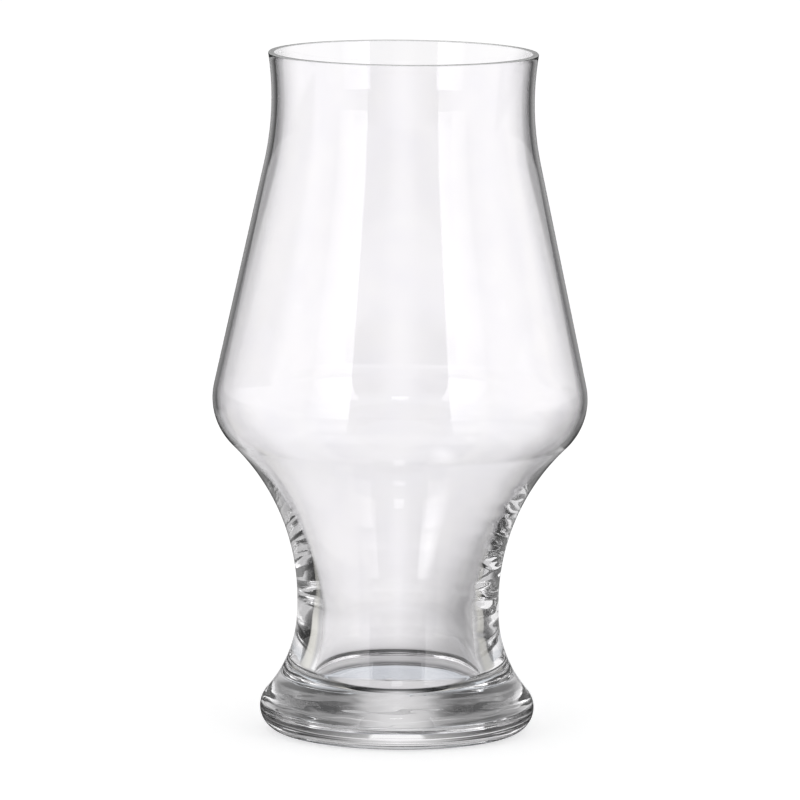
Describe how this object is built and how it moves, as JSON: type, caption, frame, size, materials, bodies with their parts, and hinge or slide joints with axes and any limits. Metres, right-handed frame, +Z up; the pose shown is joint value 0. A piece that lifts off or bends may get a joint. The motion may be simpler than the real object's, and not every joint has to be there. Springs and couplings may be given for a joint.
{
  "type": "tulip beer glass",
  "caption": "Tulip-shaped clear drinking glass: flared lip over a drawn-in neck, conical bowl, rounded shoulder, hollow waist with a thick wall, and a heavy flared foot.",
  "frame": {"origin": "centre of the ring that the glass stands on, at table height", "axes": "+Z up along the glass's axis of revolution; X and Y lie in the table's plane"},
  "size_m": [0.0906, 0.0906, 0.165],
  "materials": {
    "bowl_glass": "clear blown glass with a cut and polished lip",
    "foot_glass": "clear pressed glass, fire-polished"
  },
  "bodies": {
    "root": {"bowl": "bowl_glass", "foot": "foot_glass"}
  },
  "joints": []
}
